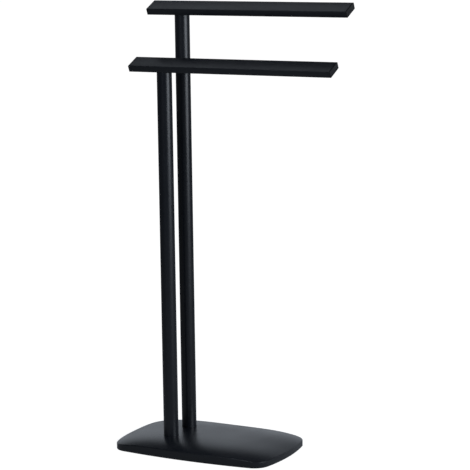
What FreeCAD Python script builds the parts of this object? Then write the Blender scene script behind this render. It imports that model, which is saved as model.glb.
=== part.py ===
"""Freestanding towel stand: two round posts on a weighted base, each with one flat arm at its top.

Lengths are millimetres and angles are degrees. The origin is the middle of the base on the floor.
+Z is up, the arms run along X with their long ends towards +X, and the front of the stand faces -Y.
"""
import FreeCAD, Part
import math
import os
import types
import Sketcher
from FreeCAD import Placement, Rotation, Vector

# ---------------------------------------------------------------------------------------------
# Driving dimensions
# ---------------------------------------------------------------------------------------------
SIZES = {
    # outline of the base seen from above: four bulging sides joined by round corners
    "base_length": 358,
    "base_width": 226,
    "long_side_radius": 1255,
    "short_side_radius": 393,
    "corner_radius": 33,
    # pressed steel cover, with its crowned top
    "crown_height": 27,
    "long_side_rim": 17.4,
    "short_side_rim": 12.8,
    "rim_round": 1.6,
    "cover_wall": 1.5,
    "cover_lift": 0.8,
    # what closes the underside
    "mat_thickness": 3,
    "mat_inset": 4,
    "plate_thickness": 2,
    "plate_clearance": 0.5,
    "access_radius": 13,
    # iron weight with a socket boss for each post
    "slab_thickness": 6,
    "ballast_clearance": 1,
    "crown_clearance": 0.3,
    "boss_radius": 24,
    "counterbore_radius": 11,
    "counterbore_depth": 7.2,
    "web_thickness": 5,
    # welded lugs inside the cover and the screws that hold the plate to them
    "lug_spread": 220,
    "lug_width": 16,
    "lug_depth": 10,
    "weld_gap": 0.15,
    "screw_diameter": 4,
    "screw_head_diameter": 7.6,
    "screw_length": 7,
    "screw_key_width": 2.5,
    "screw_key_depth": 1.4,
    # posts
    "post_diameter": 30,
    "post_wall": 1.5,
    "post_offset": 68,
    "post_spacing": 77,
    "post_clearance": 0.3,
    "press_clearance": 0.2,
    # bolt, washers and pin at each foot
    "insert_length": 20,
    "bolt_diameter": 8,
    "bolt_length": 22,
    "bolt_head_height": 5.3,
    "bolt_head_width": 13,
    "thread_clearance": 0.2,
    "washer_diameter": 16,
    "washer_thickness": 1.6,
    "spring_washer_diameter": 14.8,
    "spring_washer_thickness": 2.1,
    "spring_washer_slit": 1.6,
    "pin_diameter": 4,
    "pin_offset": 9.3,
    "pin_depth": 4,
    # arms
    "arm_width": 39,
    "arm_thickness": 13.6,
    "arm_wall": 1.5,
    "arm_edge_radius": 1.6,
    "arm_tilt": 24.3,
    "arm_short_reach": 71,
    "arm_long_reach": 367,
    "front_arm_height": 779,
    "rear_arm_height": 887,
    "cap_thickness": 2.5,
    "cap_plug_length": 14,
    "cap_wall": 2,
    # spigot under each arm, the sleeve that takes it and the screw that clamps it
    "spigot_diameter": 20,
    "sleeve_length": 30,
    "sleeve_setback": 1,
    "spigot_overrun": 4,
    "spigot_flat_depth": 0.8,
    "spigot_flat_length": 12,
    "grub_diameter": 6,
    "grub_recess": 0.4,
    "grub_key_width": 3,
    "grub_key_depth": 2.5,
}

DOCUMENT = FreeCAD.newDocument("TowelStand")
SHEET = DOCUMENT.addObject("Spreadsheet::Sheet", "Sizes")
for row, (name, value) in enumerate(SIZES.items(), start=1):
    SHEET.set("A%d" % row, name)
    SHEET.set("B%d" % row, str(value))
    SHEET.setAlias("B%d" % row, name)
DOCUMENT.recompute()


# ---------------------------------------------------------------------------------------------
# Formulas: a value for the first drawing, and the expression that keeps the model to the sheet
# ---------------------------------------------------------------------------------------------
class Formula:
    """A length worked out from the sheet's cells."""

    def __init__(self, value, text):
        self.value = value
        self.text = text

    def __add__(self, other):
        other = formula(other)
        return Formula(self.value + other.value, "(%s + %s)" % (self.text, other.text))

    def __sub__(self, other):
        other = formula(other)
        return Formula(self.value - other.value, "(%s - %s)" % (self.text, other.text))

    def __mul__(self, other):
        other = formula(other)
        return Formula(self.value * other.value, "(%s * %s)" % (self.text, other.text))

    def __truediv__(self, other):
        other = formula(other)
        return Formula(self.value / other.value, "(%s / %s)" % (self.text, other.text))

    def __neg__(self):
        return formula(0) - self


def formula(value):
    """A plain number as a formula; a formula stays as it is."""
    if isinstance(value, Formula):
        return value
    return Formula(float(value), repr(float(value)))


def root(value):
    return Formula(math.sqrt(value.value), "sqrt(%s)" % value.text)


def tangent(angle):
    return Formula(math.tan(math.radians(angle.value)), "tan(%s)" % angle.text)


def cosine(angle):
    return Formula(math.cos(math.radians(angle.value)), "cos(%s)" % angle.text)


def bind(item, path, value):
    """Tie one property of a document object to the sheet."""
    value = formula(value)
    item.setExpression(path, value.text)


dims = types.SimpleNamespace(
    **{name: Formula(float(SHEET.get(name)), "Sizes.%s" % name) for name in SIZES}
)

# heights over the floor, from the mat upwards
PLATE_TOP = dims.mat_thickness + dims.plate_thickness
WEB_BOTTOM = PLATE_TOP + dims.counterbore_depth
POST_FOOT = WEB_BOTTOM + dims.web_thickness

# radii and half sizes that several pieces share
HALF_LENGTH = dims.base_length / 2
HALF_WIDTH = dims.base_width / 2
POST_RADIUS = dims.post_diameter / 2
POST_BORE = POST_RADIUS - dims.post_wall
PLUG_RADIUS = POST_BORE - dims.press_clearance
BOLT_RADIUS = dims.bolt_diameter / 2
BOLT_HOLE = BOLT_RADIUS + dims.thread_clearance
SPIGOT_RADIUS = dims.spigot_diameter / 2
GRUB_RADIUS = dims.grub_diameter / 2
GRUB_HOLE = GRUB_RADIUS + dims.thread_clearance
PIN_RADIUS = dims.pin_diameter / 2
PIN_HOLE = PIN_RADIUS + dims.thread_clearance
LUG_TOP = dims.short_side_rim - dims.cover_wall - dims.crown_clearance
HALF_ARM_DROP = dims.arm_thickness / 2 / cosine(dims.arm_tilt)

# the two towers: name, Y of the post's axis, height of the arm's middle over the floor
TOWERS = (
    ("front", -dims.post_spacing / 2, dims.front_arm_height),
    ("rear", dims.post_spacing / 2, dims.rear_arm_height),
)
POST_X = -dims.post_offset


# ---------------------------------------------------------------------------------------------
# Drawing helpers
# ---------------------------------------------------------------------------------------------
def new_body(name):
    return DOCUMENT.addObject("PartDesign::Body", name)


def new_sketch(body, plane, height=0):
    """An empty sketch on one of the body's own planes, lifted along that plane's normal."""
    sketch = body.newObject("Sketcher::SketchObject", body.Name + "_sketch")
    support = next(item for item in body.Origin.OriginFeatures if item.Role == plane)
    sketch.AttachmentSupport = [(support, "")]
    sketch.MapMode = "FlatFace"
    bind(sketch, ".AttachmentOffset.Base.z", height)
    return sketch


def dimension(sketch, kind, value, *where):
    """A driving dimension of a sketch, tied to the sheet."""
    value = formula(value)
    number = sketch.addConstraint(Sketcher.Constraint(kind, *where, value.value))
    bind(sketch, "Constraints[%d]" % number, value)


def fix_point(sketch, edge, point, x, y):
    """Place one point of a sketch edge by its distances from the sketch's origin."""
    dimension(sketch, "DistanceX", x, -1, 1, edge, point)
    dimension(sketch, "DistanceY", y, -1, 1, edge, point)


def draw_circle(sketch, radius, x=0, y=0):
    x, y, radius = formula(x), formula(y), formula(radius)
    ring = Part.Circle(Vector(x.value, y.value, 0), Vector(0, 0, 1), radius.value)
    edge = sketch.addGeometry(ring, False)
    fix_point(sketch, edge, 3, x, y)
    dimension(sketch, "Radius", radius, edge)


def draw_polygon(sketch, corners):
    """A closed polygon through corners given as pairs of formulas."""
    corners = [(formula(x), formula(y)) for x, y in corners]
    points = [Vector(x.value, y.value, 0) for x, y in corners]
    edges = []
    for start, end in zip(points, points[1:] + points[:1]):
        edges.append(sketch.addGeometry(Part.LineSegment(start, end), False))
    for edge, following in zip(edges, edges[1:] + edges[:1]):
        sketch.addConstraint(Sketcher.Constraint("Coincident", edge, 2, following, 1))
    for edge, (x, y) in zip(edges, corners):
        fix_point(sketch, edge, 1, x, y)


def draw_rectangle(sketch, low_x, low_y, high_x, high_y):
    draw_polygon(sketch, [(low_x, low_y), (high_x, low_y), (high_x, high_y), (low_x, high_y)])


def draw_base_outline(sketch, inset=0):
    """The base seen from above, moved inwards by inset: every arc keeps its centre."""
    long_radius = dims.long_side_radius - inset
    short_radius = dims.short_side_radius - inset
    corner_radius = dims.corner_radius - inset
    long_centre = dims.long_side_radius - HALF_WIDTH
    short_centre = dims.short_side_radius - HALF_LENGTH
    # a corner's centre lies where the two side arcs, moved in by the corner's radius, cross
    reach_long = dims.long_side_radius.value - dims.corner_radius.value
    reach_short = dims.short_side_radius.value - dims.corner_radius.value
    apart = math.hypot(long_centre.value, short_centre.value)
    along = (reach_long ** 2 - reach_short ** 2 + apart ** 2) / (2 * apart)
    aside = math.sqrt(reach_long ** 2 - along ** 2)
    unit_x, unit_y = -short_centre.value / apart, long_centre.value / apart
    corner_x = unit_x * along + unit_y * aside
    corner_y = -long_centre.value + unit_y * along - unit_x * aside
    long_angle = math.atan2(corner_y + long_centre.value, corner_x)
    short_angle = math.atan2(corner_y, corner_x + short_centre.value)
    turn = math.pi
    arcs = [
        (short_centre, -1, 0, short_radius, -short_angle, short_angle),
        (None, 1, 1, corner_radius, short_angle, long_angle),
        (long_centre, 0, -1, long_radius, long_angle, turn - long_angle),
        (None, -1, 1, corner_radius, turn - long_angle, turn - short_angle),
        (short_centre, 1, 0, short_radius, turn - short_angle, turn + short_angle),
        (None, -1, -1, corner_radius, turn + short_angle, turn + long_angle),
        (long_centre, 0, 1, long_radius, turn + long_angle, 2 * turn - long_angle),
        (None, 1, -1, corner_radius, 2 * turn - long_angle, 2 * turn - short_angle),
    ]
    edges = []
    for offset, sign_x, sign_y, radius, start, end in arcs:
        reach_x, reach_y = (corner_x, corner_y) if offset is None else (offset.value, offset.value)
        centre = Vector(sign_x * reach_x, sign_y * reach_y, 0)
        circle = Part.Circle(centre, Vector(0, 0, 1), radius.value)
        edges.append(sketch.addGeometry(Part.ArcOfCircle(circle, start, end), False))
    for edge, following in zip(edges, edges[1:] + edges[:1]):
        sketch.addConstraint(Sketcher.Constraint("Tangent", edge, 2, following, 1))
    for edge, (offset, sign_x, sign_y, radius, start, end) in zip(edges, arcs):
        if offset is not None:
            fix_point(sketch, edge, 3, offset * sign_x, offset * sign_y)
        dimension(sketch, "Radius", radius, edge)


def pad(body, sketch, length, symmetric=False):
    feature = body.newObject("PartDesign::Pad", body.Name + "_pad")
    feature.Profile = sketch
    if symmetric:
        feature.SideType = "Symmetric"
    bind(feature, "Length", length)
    DOCUMENT.recompute()
    return feature


def pocket(body, sketch, length, upwards=False, symmetric=False):
    """Cut a sketch away, against its plane's normal unless upwards; it has to remove something."""
    before = body.Shape.Volume
    feature = body.newObject("PartDesign::Pocket", body.Name + "_pocket")
    feature.Profile = sketch
    feature.Reversed = upwards
    if symmetric:
        feature.SideType = "Symmetric"
    bind(feature, "Length", length)
    DOCUMENT.recompute()
    if not body.Shape.Volume < before:
        raise RuntimeError("a pocket of %s removes nothing" % body.Name)
    return feature


def cylinder(name, radius, height, x=0, y=0, z=0, rotation=None):
    item = DOCUMENT.addObject("Part::Cylinder", name)
    bind(item, "Radius", radius)
    bind(item, "Height", height)
    return place(item, x, y, z, rotation)


def prism(name, width, height, x=0, y=0, z=0, rotation=None):
    """A hexagonal bar, with its width across the flats."""
    item = DOCUMENT.addObject("Part::Prism", name)
    item.Polygon = 6
    bind(item, "Circumradius", width / root(formula(3)))
    bind(item, "Height", height)
    return place(item, x, y, z, rotation)


def place(item, x=0, y=0, z=0, rotation=None):
    item.Placement = Placement(Vector(), rotation or Rotation())
    for axis, value in (("x", x), ("y", y), ("z", z)):
        bind(item, ".Placement.Base.%s" % axis, value)
    return item


def fuse(name, items):
    item = DOCUMENT.addObject("Part::MultiFuse", name)
    item.Shapes = items
    return item


def cut(name, solid, tools):
    item = DOCUMENT.addObject("Part::Cut", name)
    item.Base = solid
    item.Tool = tools[0] if len(tools) == 1 else fuse(name + "_tools", tools)
    return item


def common(name, solid, other):
    item = DOCUMENT.addObject("Part::Common", name)
    item.Base = solid
    item.Tool = other
    return item


def group(name, items):
    item = DOCUMENT.addObject("Part::Compound", name)
    item.Links = items
    return item


NODES = []


def finished(item, name):
    """Give a sub-part its name, under which it is written."""
    item.Label = name
    NODES.append(item)
    return item


TO_THE_REAR = Rotation(Vector(1, 0, 0), -90)


# ---------------------------------------------------------------------------------------------
# Base: cover, weight, plate, mat and what holds them together
# ---------------------------------------------------------------------------------------------
def crown_block(name, drop):
    """Everything under the crowned surface, lowered by drop.

    The surface falls from its top with the fourth power of the distance along X and along Y:
    height = top - fall_x * (x / half_length)^4 - fall_y * (y / half_width)^4.
    As a Bezier surface of degree four it is exact: over a span from -a to a the fourth power
    has the five control values a^4, -a^4, a^4, -a^4, a^4.
    """
    half_length, half_width = HALF_LENGTH.value, HALF_WIDTH.value
    fall_x = dims.crown_height.value - dims.short_side_rim.value
    fall_y = dims.crown_height.value - dims.long_side_rim.value
    top = dims.crown_height.value - drop.value
    overhang = 1.02
    share = overhang ** 4
    surface = Part.BezierSurface()
    surface.increase(4, 4)
    for i in range(5):
        for j in range(5):
            x = half_length * overhang * (i / 2 - 1)
            y = half_width * overhang * (j / 2 - 1)
            height = top - share * (fall_x * (-1) ** i + fall_y * (-1) ** j)
            surface.setPole(i + 1, j + 1, Vector(x, y, height))
    depth = 2 * dims.crown_height.value
    item = DOCUMENT.addObject("Part::Feature", name)
    item.Shape = surface.toShape().extrude(Vector(0, 0, -depth))
    return item


def outline_block(name, inset, bottom, height):
    """An upright block with the base's outline, moved inwards by inset."""
    body = new_body(name)
    sketch = new_sketch(body, "XY_Plane", bottom)
    draw_base_outline(sketch, inset)
    pad(body, sketch, height)
    return body


def make_cover():
    """Crowned shell with an open underside and a hole for each post."""
    blank = outline_block("cover_blank", formula(0), dims.cover_lift, dims.crown_height)
    crowned = common("cover_crowned", blank, crown_block("cover_crown", formula(0)))
    DOCUMENT.recompute()
    outside = new_body("cover_outside")
    outside.BaseFeature = crowned
    DOCUMENT.recompute()
    base = outside.Tip
    rim_edges = []
    for number, edge in enumerate(base.Shape.Edges, start=1):
        level = edge.BoundBox.ZMin
        upright = edge.BoundBox.XLength < 0.01 and edge.BoundBox.YLength < 0.01
        if level > dims.cover_lift.value + 1 and not upright:
            rim_edges.append("Edge%d" % number)
    rounding = outside.newObject("PartDesign::Fillet", "cover_rim_round")
    rounding.Base = (base, rim_edges)
    bind(rounding, "Radius", dims.rim_round)
    DOCUMENT.recompute()
    hollow = common(
        "cover_hollow",
        outline_block("cover_hollow_blank", dims.cover_wall, formula(0), dims.crown_height),
        crown_block("cover_hollow_crown", dims.cover_wall),
    )
    tools = [hollow]
    for name, y, height in TOWERS:
        hole = POST_RADIUS + dims.post_clearance
        tools.append(cylinder(name + "_cover_hole", hole, dims.crown_height * 2, POST_X, y))
    finished(cut("cover_shell", outside, tools), "base_cover")


def lug_places():
    """Middle of each lug's outer face, and the angle that turns its +Y side to the wall."""
    half = dims.lug_width / 2
    long_radius = dims.long_side_radius - dims.cover_wall
    short_radius = dims.short_side_radius - dims.cover_wall
    side = dims.lug_spread / 2
    far = side + half
    wall_y = HALF_WIDTH - dims.long_side_radius + root(long_radius * long_radius - far * far)
    wall_x = HALF_LENGTH - dims.short_side_radius + root(short_radius * short_radius - half * half)
    wall_y = wall_y - dims.weld_gap
    wall_x = wall_x - dims.weld_gap
    return [
        (side, wall_y, 0),
        (-side, wall_y, 0),
        (-wall_x, formula(0), 90),
        (-side, -wall_y, 180),
        (side, -wall_y, 180),
        (wall_x, formula(0), 270),
    ]


def screw_place(x, y, angle):
    """Axis of the screw in the lug whose outer face has its middle at x, y."""
    inwards = dims.lug_depth / 2
    step_x = {0: 0, 90: 1, 180: 0, 270: -1}[angle]
    step_y = {0: -1, 90: 0, 180: 1, 270: 0}[angle]
    return x + inwards * step_x, y + inwards * step_y


def make_lugs_and_screws():
    lugs = []
    screws = []
    for number, (x, y, angle) in enumerate(lug_places(), start=1):
        screw_x, screw_y = screw_place(x, y, angle)
        block = DOCUMENT.addObject("Part::Box", "lug_block_%d" % number)
        across = angle in (0, 180)
        length_x, length_y = dims.lug_width, dims.lug_depth
        if not across:
            length_x, length_y = dims.lug_depth, dims.lug_width
        bind(block, "Length", length_x)
        bind(block, "Width", length_y)
        bind(block, "Height", LUG_TOP - PLATE_TOP)
        place(block, screw_x - length_x / 2, screw_y - length_y / 2, PLATE_TOP)
        hole = dims.screw_diameter / 2 + dims.thread_clearance
        bore = cylinder("lug_bore_%d" % number, hole, LUG_TOP, screw_x, screw_y)
        lugs.append(cut("lug_%d" % number, block, [bore]))
        head = screw_cone("screw_head_%d" % number, formula(0), screw_x, screw_y)
        shank = cylinder(
            "screw_shank_%d" % number,
            dims.screw_diameter / 2, dims.screw_length, screw_x, screw_y, dims.mat_thickness,
        )
        key = prism(
            "screw_key_%d" % number,
            dims.screw_key_width, dims.screw_key_depth, screw_x, screw_y, dims.mat_thickness,
        )
        whole = fuse("screw_solid_%d" % number, [head, shank])
        screws.append(cut("screw_%d" % number, whole, [key]))
    finished(group("lugs", lugs), "cover_lugs")
    finished(group("screws", screws), "base_plate_screws")


def screw_cone(name, clearance, x, y):
    """Countersunk head, or with a clearance the seat that it lies in, from the plate's underside."""
    item = DOCUMENT.addObject("Part::Cone", name)
    large = dims.screw_head_diameter / 2 + clearance
    small = dims.screw_diameter / 2 + clearance
    bind(item, "Radius1", large)
    bind(item, "Radius2", small)
    bind(item, "Height", (dims.screw_head_diameter - dims.screw_diameter) / 2)
    return place(item, x, y, dims.mat_thickness)


def make_ballast():
    """Cast weight: a slab, two socket bosses, and notches that pass the cover's lugs."""
    inset = dims.cover_wall + dims.ballast_clearance
    body = outline_block("ballast_casting", inset, PLATE_TOP, dims.slab_thickness)
    bosses = new_sketch(body, "XY_Plane", PLATE_TOP)
    for name, y, height in TOWERS:
        draw_circle(bosses, dims.boss_radius, POST_X, y)
    pad(body, bosses, dims.crown_height)
    sockets = new_sketch(body, "XY_Plane", POST_FOOT)
    bores = new_sketch(body, "XY_Plane", PLATE_TOP)
    bolt_holes = new_sketch(body, "XY_Plane", PLATE_TOP)
    pin_holes = new_sketch(body, "XY_Plane", POST_FOOT)
    for name, y, height in TOWERS:
        draw_circle(sockets, POST_RADIUS + dims.post_clearance, POST_X, y)
        draw_circle(bores, dims.counterbore_radius, POST_X, y)
        draw_circle(bolt_holes, BOLT_RADIUS + dims.post_clearance, POST_X, y)
        draw_circle(pin_holes, PIN_HOLE, POST_X + dims.pin_offset, y)
    pocket(body, sockets, dims.crown_height, upwards=True)
    pocket(body, bores, dims.counterbore_depth, upwards=True)
    pocket(body, bolt_holes, dims.crown_height, upwards=True)
    pocket(body, pin_holes, dims.pin_depth)
    notches = new_sketch(body, "XY_Plane", PLATE_TOP)
    room = dims.ballast_clearance
    for x, y, angle in lug_places():
        centre_x, centre_y = screw_place(x, y, angle)
        half_x = dims.lug_width / 2 + room
        half_y = dims.lug_depth / 2 + room
        if angle in (90, 270):
            half_x, half_y = half_y, half_x
        low_x, high_x = centre_x - half_x, centre_x + half_x
        low_y, high_y = centre_y - half_y, centre_y + half_y
        draw_rectangle(notches, low_x, low_y, high_x, high_y)
    pocket(body, notches, dims.crown_height, upwards=True)
    drop = dims.cover_wall + dims.crown_clearance
    casting = common("ballast", body, crown_block("ballast_crown", drop))
    finished(casting, "ballast_plate")


def make_base_plate():
    """Sheet that closes the underside, with countersunk holes and access to the post bolts."""
    inset = dims.cover_wall + dims.plate_clearance
    body = outline_block("plate_blank", inset, dims.mat_thickness, dims.plate_thickness)
    access = new_sketch(body, "XY_Plane", dims.mat_thickness)
    for name, y, height in TOWERS:
        draw_circle(access, dims.access_radius, POST_X, y)
    pocket(body, access, dims.plate_thickness, upwards=True)
    seats = []
    for number, (x, y, angle) in enumerate(lug_places(), start=1):
        screw_x, screw_y = screw_place(x, y, angle)
        seats.append(screw_cone("plate_seat_%d" % number, dims.thread_clearance, screw_x, screw_y))
        hole = dims.screw_diameter / 2 + dims.thread_clearance
        seats.append(cylinder("plate_hole_%d" % number, hole, PLATE_TOP * 2, screw_x, screw_y))
    finished(cut("plate", body, seats), "base_plate")


def make_mat():
    """Soft mat that the stand rests on, glued under the plate."""
    body = outline_block("mat", dims.mat_inset, formula(0), dims.mat_thickness)
    access = new_sketch(body, "XY_Plane", formula(0))
    for name, y, height in TOWERS:
        draw_circle(access, dims.access_radius, POST_X, y)
    pocket(body, access, dims.mat_thickness, upwards=True)
    finished(body, "floor_mat")


# ---------------------------------------------------------------------------------------------
# Posts, with what is inside their feet and tops
# ---------------------------------------------------------------------------------------------
def mitre(body, top, reach):
    """Cut everything above the arm's underside: a slanted plane, lower at the front."""
    rise = tangent(dims.arm_tilt) * reach
    above = top + reach * 2
    sketch = new_sketch(body, "YZ_Plane")
    draw_polygon(sketch, [(-reach, top - rise), (reach, top + rise), (reach, above), (-reach, above)])
    pocket(body, sketch, reach * 2, symmetric=True)


def post_length(arm_height):
    """From the post's foot, along its axis, to the underside of its arm."""
    return arm_height - POST_FOOT - HALF_ARM_DROP


def sleeve_top(arm_height):
    """Top of the sleeve over the post's foot: just below the low side of the slanted cut."""
    return post_length(arm_height) - tangent(dims.arm_tilt) * POST_RADIUS - dims.sleeve_setback


def grub_level(arm_height):
    return sleeve_top(arm_height) - dims.sleeve_length / 2


def make_post(name, y, arm_height):
    """Round tube, square at the foot, cut to the arm's slope at the top."""
    body = new_body(name + "_tube")
    length = post_length(arm_height)
    ring = new_sketch(body, "XY_Plane")
    draw_circle(ring, POST_RADIUS)
    draw_circle(ring, POST_BORE)
    pad(body, ring, length + POST_RADIUS)
    mitre(body, length, dims.post_diameter)
    hole = new_sketch(body, "XZ_Plane")
    draw_circle(hole, GRUB_HOLE, 0, grub_level(arm_height))
    pocket(body, hole, dims.post_diameter)
    place(body, POST_X, y, POST_FOOT)
    finished(body, name + "_post")


def make_insert(name, y):
    """Plug welded into the post's foot, threaded for the bolt and drilled for the pin."""
    plug = cylinder(name + "_plug", PLUG_RADIUS, dims.insert_length, POST_X, y, POST_FOOT)
    thread = cylinder(name + "_plug_thread", BOLT_HOLE, POST_FOOT * 4, POST_X, y)
    pin_x = POST_X + dims.pin_offset
    drilling = cylinder(
        name + "_plug_drilling", PIN_HOLE, dims.pin_depth * 2, pin_x, y, POST_FOOT - dims.pin_depth
    )
    finished(cut(name + "_insert", plug, [thread, drilling]), name + "_post_insert")


def make_sleeve(name, y, arm_height):
    """Thick ring welded inside the post's top, tapped from behind for the grub screw."""
    bottom = POST_FOOT + sleeve_top(arm_height) - dims.sleeve_length
    ring = cylinder(name + "_ring", PLUG_RADIUS, dims.sleeve_length, POST_X, y, bottom)
    bore = cylinder(
        name + "_ring_bore",
        SPIGOT_RADIUS + dims.press_clearance, dims.sleeve_length * 3, POST_X, y,
        bottom - dims.sleeve_length,
    )
    level = POST_FOOT + grub_level(arm_height)
    tapping = cylinder(
        name + "_ring_tapping", GRUB_HOLE, dims.post_diameter, POST_X, y, level, TO_THE_REAR
    )
    finished(cut(name + "_sleeve", ring, [bore, tapping]), name + "_post_sleeve")


def make_spigot(name, y, arm_height):
    """Peg welded under the arm, with a flat at the rear for the grub screw."""
    body = new_body(name + "_peg")
    length = post_length(arm_height)
    bottom = sleeve_top(arm_height) - dims.sleeve_length - dims.spigot_overrun
    disc = new_sketch(body, "XY_Plane", bottom)
    draw_circle(disc, SPIGOT_RADIUS)
    pad(body, disc, length - bottom + SPIGOT_RADIUS)
    mitre(body, length, dims.spigot_diameter)
    half = dims.spigot_flat_length / 2
    level = grub_level(arm_height)
    flat = new_sketch(body, "YZ_Plane")
    face = SPIGOT_RADIUS - dims.spigot_flat_depth
    draw_rectangle(flat, face, level - half, SPIGOT_RADIUS * 2, level + half)
    pocket(body, flat, dims.spigot_diameter, symmetric=True)
    place(body, POST_X, y, POST_FOOT)
    finished(body, name + "_arm_spigot")


def make_grub_screws():
    """Set screws from behind, through post and sleeve, each against its spigot's flat."""
    screws = []
    inner = SPIGOT_RADIUS - dims.spigot_flat_depth
    length = POST_RADIUS - dims.grub_recess - inner
    for name, y, arm_height in TOWERS:
        level = POST_FOOT + grub_level(arm_height)
        rod = cylinder(
            name + "_grub_rod", GRUB_RADIUS, length, POST_X, y + inner, level, TO_THE_REAR
        )
        outer = y + POST_RADIUS - dims.grub_recess
        key = prism(
            name + "_grub_key", dims.grub_key_width, dims.grub_key_depth * 2,
            POST_X, outer - dims.grub_key_depth, level, TO_THE_REAR,
        )
        screws.append(cut(name + "_grub", rod, [key]))
    finished(group("grubs", screws), "arm_grub_screws")


def make_foot_fasteners():
    """Below each post: pin, flat washer, split washer and hexagon bolt, from the top down."""
    pins, washers, spring_washers, bolts = [], [], [], []
    hole = BOLT_HOLE
    washer_bottom = WEB_BOTTOM - dims.washer_thickness
    spring_bottom = washer_bottom - dims.spring_washer_thickness
    head_bottom = spring_bottom - dims.bolt_head_height
    for name, y, arm_height in TOWERS:
        pin_bottom = POST_FOOT - dims.pin_depth
        pin_x = POST_X + dims.pin_offset
        pin_length = dims.pin_depth * 2
        pins.append(cylinder(name + "_pin", PIN_RADIUS, pin_length, pin_x, y, pin_bottom))
        disc = cylinder(
            name + "_washer_disc", dims.washer_diameter / 2, dims.washer_thickness,
            POST_X, y, washer_bottom,
        )
        bore = cylinder(name + "_washer_bore", hole, POST_FOOT, POST_X, y)
        washers.append(cut(name + "_washer", disc, [bore]))
        coil = cylinder(
            name + "_split_disc", dims.spring_washer_diameter / 2, dims.spring_washer_thickness,
            POST_X, y, spring_bottom,
        )
        coil_bore = cylinder(name + "_split_bore", hole, POST_FOOT, POST_X, y)
        slit = DOCUMENT.addObject("Part::Box", name + "_split_slit")
        bind(slit, "Length", dims.spring_washer_diameter)
        bind(slit, "Width", dims.spring_washer_slit)
        bind(slit, "Height", POST_FOOT)
        place(slit, POST_X, y - dims.spring_washer_slit / 2)
        spring_washers.append(cut(name + "_split_washer", coil, [coil_bore, slit]))
        head = prism(
            name + "_bolt_head", dims.bolt_head_width, dims.bolt_head_height,
            POST_X, y, head_bottom,
        )
        shank = cylinder(
            name + "_bolt_shank", BOLT_RADIUS, dims.bolt_head_height + dims.bolt_length,
            POST_X, y, head_bottom,
        )
        bolts.append(fuse(name + "_bolt", [head, shank]))
    finished(group("pins", pins), "post_pins")
    finished(group("washers", washers), "post_washers")
    finished(group("split_washers", spring_washers), "post_spring_washers")
    finished(group("bolts", bolts), "post_bolts")


# ---------------------------------------------------------------------------------------------
# Arms and their end caps
# ---------------------------------------------------------------------------------------------
def tilt_and_place(body, y, height):
    """Turn an arm piece about the arm's long axis, front edge down, and lift it to its post."""
    body.Placement = Placement(Vector(), Rotation(Vector(1, 0, 0), dims.arm_tilt.value))
    bind(body, ".Placement.Rotation.Angle", dims.arm_tilt)
    bind(body, ".Placement.Base.x", POST_X)
    bind(body, ".Placement.Base.y", y)
    bind(body, ".Placement.Base.z", height)


def round_long_edges(body, radius, half_width, half_thickness):
    """Round the four outer edges that run along X."""
    block = body.Tip
    edges = []
    for number, edge in enumerate(block.Shape.Edges, start=1):
        box = edge.BoundBox
        along = box.YLength < 0.01 and box.ZLength < 0.01
        outer_y = abs(abs(box.YMin) - half_width.value) < 0.01
        outer_z = abs(abs(box.ZMin) - half_thickness.value) < 0.01
        if along and outer_y and outer_z:
            edges.append("Edge%d" % number)
    rounding = body.newObject("PartDesign::Fillet", body.Name + "_round")
    rounding.Base = (block, edges)
    bind(rounding, "Radius", radius)
    DOCUMENT.recompute()


def draw_arm_section(sketch, inset):
    half_width = dims.arm_width / 2 - inset
    half_thickness = dims.arm_thickness / 2 - inset
    draw_rectangle(sketch, -half_width, -half_thickness, half_width, half_thickness)


def make_arm(name, y, height):
    """Flat rectangular tube between its two end caps."""
    body = new_body(name + "_bar")
    start = dims.cap_thickness - dims.arm_short_reach
    length = dims.arm_short_reach + dims.arm_long_reach - dims.cap_thickness * 2
    solid = new_sketch(body, "YZ_Plane", start)
    draw_arm_section(solid, formula(0))
    pad(body, solid, length)
    round_long_edges(body, dims.arm_edge_radius, dims.arm_width / 2, dims.arm_thickness / 2)
    hollow = new_sketch(body, "YZ_Plane", start)
    draw_arm_section(hollow, dims.arm_wall)
    pocket(body, hollow, length, upwards=True)
    tilt_and_place(body, y, height)
    finished(body, name + "_arm")


def make_cap(name, side, y, height):
    """Moulded plug: a plate over the tube's end and a hollow box that grips inside it."""
    body = new_body("%s_%s_plug" % (name, side))
    inside = dims.arm_wall + dims.press_clearance
    depth = dims.cap_thickness + dims.cap_plug_length
    if side == "right":
        plate_start = dims.arm_long_reach - dims.cap_thickness
        plug_start = plate_start - dims.cap_plug_length
    else:
        plate_start = -dims.arm_short_reach
        plug_start = plate_start + dims.cap_thickness
    plate = new_sketch(body, "YZ_Plane", plate_start)
    draw_arm_section(plate, formula(0))
    pad(body, plate, dims.cap_thickness)
    round_long_edges(body, dims.arm_edge_radius, dims.arm_width / 2, dims.arm_thickness / 2)
    plug = new_sketch(body, "YZ_Plane", plug_start)
    draw_arm_section(plug, inside)
    pad(body, plug, dims.cap_plug_length)
    hollow = new_sketch(body, "YZ_Plane", plug_start)
    draw_arm_section(hollow, inside + dims.cap_wall)
    pocket(body, hollow, dims.cap_plug_length, upwards=True)
    tilt_and_place(body, y, height)
    finished(body, "%s_arm_%s_cap" % (name, side))


# ---------------------------------------------------------------------------------------------
# The whole stand
# ---------------------------------------------------------------------------------------------
make_cover()
make_lugs_and_screws()
make_ballast()
make_base_plate()
make_mat()
make_foot_fasteners()
make_grub_screws()
for tower, tower_y, tower_arm_height in TOWERS:
    make_post(tower, tower_y, tower_arm_height)
    make_insert(tower, tower_y)
    make_sleeve(tower, tower_y, tower_arm_height)
    make_spigot(tower, tower_y, tower_arm_height)
    make_arm(tower, tower_y, tower_arm_height)
    make_cap(tower, "left", tower_y, tower_arm_height)
    make_cap(tower, "right", tower_y, tower_arm_height)
DOCUMENT.recompute()

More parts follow.
